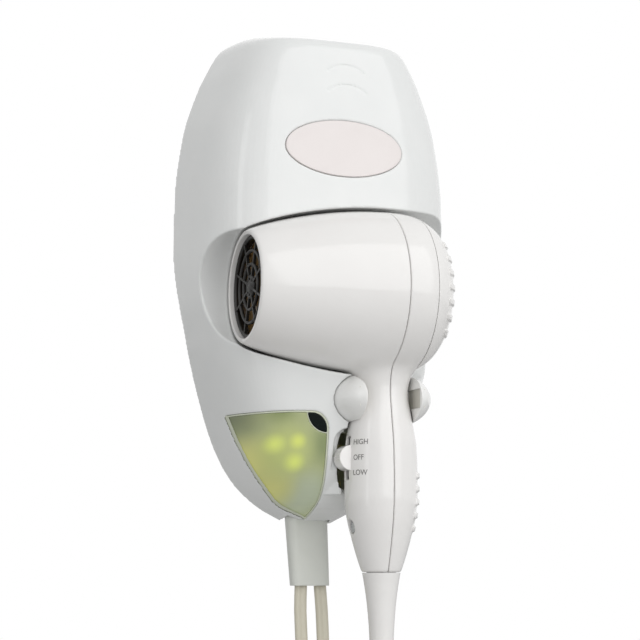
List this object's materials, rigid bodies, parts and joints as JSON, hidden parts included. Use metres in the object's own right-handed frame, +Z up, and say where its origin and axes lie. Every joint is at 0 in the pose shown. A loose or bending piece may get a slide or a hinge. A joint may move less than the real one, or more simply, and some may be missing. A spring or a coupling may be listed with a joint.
{
  "type": "wall-mounted hair dryer",
  "caption": "Wall-mounted hair dryer: egg-shaped wall base with night light, stowed handset with fan, heater, slide switch and pull-off intake cap, flat cords and mains plug.",
  "frame": {"origin": "middle of the base's wall face, at half its height", "axes": "+Y into the wall, -Y to the front of the base, -X the way the nozzle points, +Z up"},
  "size_m": [0.1424, 0.0967, 0.584],
  "materials": {
    "base_white": "glossy injection-moulded ABS, cool grey-white",
    "badge_blush": "glossy ABS insert, pale blush grey",
    "lamp_window": "frosted translucent acrylic over yellow-green light",
    "sensor_black": "near-black gloss plastic",
    "board_green": "glass-epoxy board with solder mask",
    "led_clear": "clear epoxy",
    "spring_steel": "bent spring steel",
    "screw_steel": "zinc-plated steel",
    "terminal_ivory": "natural nylon",
    "gland_grey": "satin flexible PVC, warm light grey",
    "handset_white": "glossy injection-moulded ABS, warmer white",
    "grille_black": "heat-resistant black moulding",
    "mica_tan": "pressed mica sheet",
    "heater_wire": "oxidised nickel-chrome wire",
    "carrier_white": "heat-resistant satin moulding",
    "sleeve_white": "satin flexible PVC, white",
    "cord_ivory": "flat two-core PVC cord, aged ivory",
    "tie_white": "paper-covered wire tie",
    "plug_ivory": "moulded PVC and ABS",
    "blade_brass": "stamped brass",
    "key_red": "red ABS key"
  },
  "bodies": {
    "base": {"back_plate": "base_white", "front_cover": "base_white", "name_plate": "badge_blush", "night_light_window": "lamp_window", "sensor_window": "sensor_black", "night_light_board": "board_green", "night_light_leds": "led_clear", "photocell": "sensor_black", "cradle_fork": "base_white", "snap_pads": "spring_steel", "cradle_screws": "screw_steel", "cover_screws": "screw_steel", "terminal_block": "terminal_ivory", "cord_clamp": "terminal_ivory", "clamp_screws": "screw_steel", "cord_gland": "gland_grey", "supply_cord": "cord_ivory", "supply_hank": "cord_ivory", "supply_tail": "cord_ivory", "supply_ties": "tie_white", "plug_body": "plug_ivory", "plug_blades": "blade_brass", "handset_cord": "cord_ivory", "handset_hank": "cord_ivory", "handset_cord_rise": "cord_ivory", "handset_ties": "tie_white"},
    "handset": {"front_shell": "handset_white", "rear_shell": "handset_white", "outlet_grille": "grille_black", "mica_sleeve": "mica_tan", "mica_cross": "mica_tan", "heater_coils": "heater_wire", "thermostat": "terminal_ivory", "thermal_fuse": "screw_steel", "motor_can": "screw_steel", "motor_carrier": "carrier_white", "rectifier_board": "board_green", "switch_body": "grille_black", "handle_screw": "screw_steel", "bend_sleeve": "sleeve_white"},
    "fan": {"fan_impeller": "carrier_white", "motor_shaft": "screw_steel"},
    "intake": {"intake_cap": "handset_white", "intake_screen": "grille_black"},
    "slider": {"power_slider": "handset_white"},
    "test_key": {"test_button": "sensor_black"},
    "reset_key": {"reset_button": "key_red"}
  },
  "joints": [
    {"name": "handset_lift", "type": "slide", "parent": "base", "child": "handset", "axis": [0, -1, 0], "range_m": [0, 0.06]},
    {"name": "fan_spin", "type": "hinge", "parent": "handset", "child": "fan", "pos_m": [0.0206, -0.05, -0.0137], "axis": [1, 0, 0], "continuous": true},
    {"name": "intake_pull", "type": "slide", "parent": "handset", "child": "intake", "axis": [1, 0, 0], "range_m": [0, 0.02]},
    {"name": "power_slide", "type": "slide", "parent": "handset", "child": "slider", "axis": [0, 0, 1], "range_m": [-0.0073, 0.0073]},
    {"name": "test_press", "type": "slide", "parent": "base", "child": "test_key", "axis": [0, 1, 0], "range_m": [0, 0.0014], "stiffness_N_per_m": 400, "springref_m": -0.001},
    {"name": "reset_press", "type": "slide", "parent": "base", "child": "reset_key", "axis": [0, 1, 0], "range_m": [0, 0.0014], "stiffness_N_per_m": 400, "springref_m": -0.001}
  ]
}
